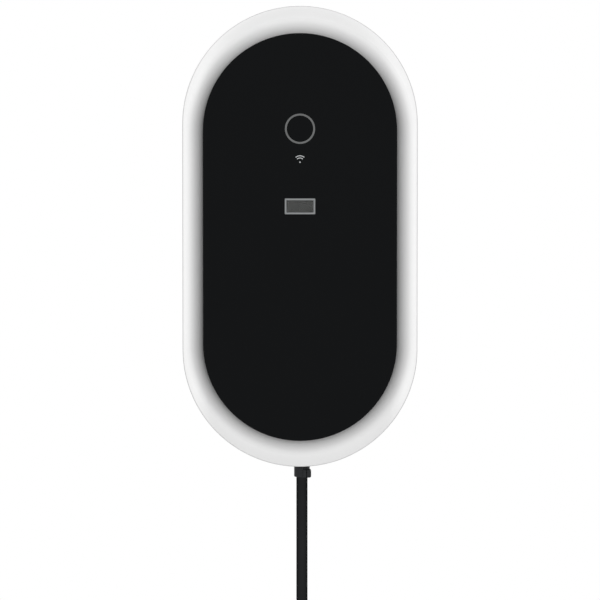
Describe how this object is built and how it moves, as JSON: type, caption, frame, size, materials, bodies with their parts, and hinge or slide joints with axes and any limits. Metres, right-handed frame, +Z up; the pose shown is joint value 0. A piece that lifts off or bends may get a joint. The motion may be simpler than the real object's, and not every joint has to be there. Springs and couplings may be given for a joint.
{
  "type": "ev wallbox",
  "caption": "Upright rounded wall charger for electric cars: white coved shell, raised black panel with a round button and a small display, and an attached charging cable.",
  "frame": {"origin": "centre of the four wall screws, on the wall plane", "axes": "+X to the right seen from the front, +Y into the wall, +Z up"},
  "size_m": [0.228, 0.1055, 0.9334],
  "materials": {
    "white_shell": "satin moulded",
    "dark_shell": "fine moulded texture",
    "black_gloss": "polished",
    "light_guide": "frosted",
    "silver_trim": "satin",
    "smoked_window": "polished",
    "display_glass": "polished",
    "black_rubber": "matte",
    "black_plastic": "satin",
    "grey_plastic": "satin",
    "green_board": "solder mask",
    "steel": "zinc plated",
    "copper": "bare",
    "silvered_brass": "silver plated",
    "wire_cover": "satin",
    "strap_fabric": "woven",
    "foam_tape": "closed-cell foam"
  },
  "bodies": {
    "root": {"rear_housing": "dark_shell", "front_cover": "white_shell", "housing_seal": "black_rubber", "cover_screws": "steel", "front_panel": "black_gloss", "panel_tape": "foam_tape", "status_ring": "light_guide", "button_switch": "grey_plastic", "button_spring": "steel", "display_bezel": "silver_trim", "display_window": "smoked_window", "display_module": "display_glass", "panel_carrier": "black_plastic", "carrier_screws": "steel", "reader_antenna": "copper", "interface_board": "green_board", "interface_screws": "steel", "status_leds": "grey_plastic", "power_board": "green_board", "power_board_screws": "steel", "supply_terminal": "grey_plastic", "output_terminal": "grey_plastic", "terminal_screws": "steel", "power_relays": "black_plastic", "metering_module": "grey_plastic", "power_supply": "black_plastic", "fault_sensor": "grey_plastic", "ribbon_cable": "grey_plastic", "supply_grommet": "black_rubber", "gland_body": "black_plastic", "gland_seal": "black_rubber", "gland_nut": "black_plastic", "clamp_collar": "black_plastic", "clamp_screw": "steel", "charging_cable": "black_rubber", "plug_lead": "black_rubber", "cable_coil": "black_rubber", "cable_straps": "strap_fabric", "cable_wires": "wire_cover", "plug_boot": "black_rubber", "plug_body": "black_plastic", "plug_insert": "grey_plastic", "plug_contacts": "silvered_brass"},
    "start_button": {"start_button": "black_gloss"}
  },
  "joints": [
    {"name": "start_press", "type": "slide", "parent": "root", "child": "start_button", "axis": [0, 1, 0], "range_m": [0, 0.0008], "stiffness_N_per_m": 400, "springref_m": -0.002, "deforming": ["button_spring"]}
  ]
}
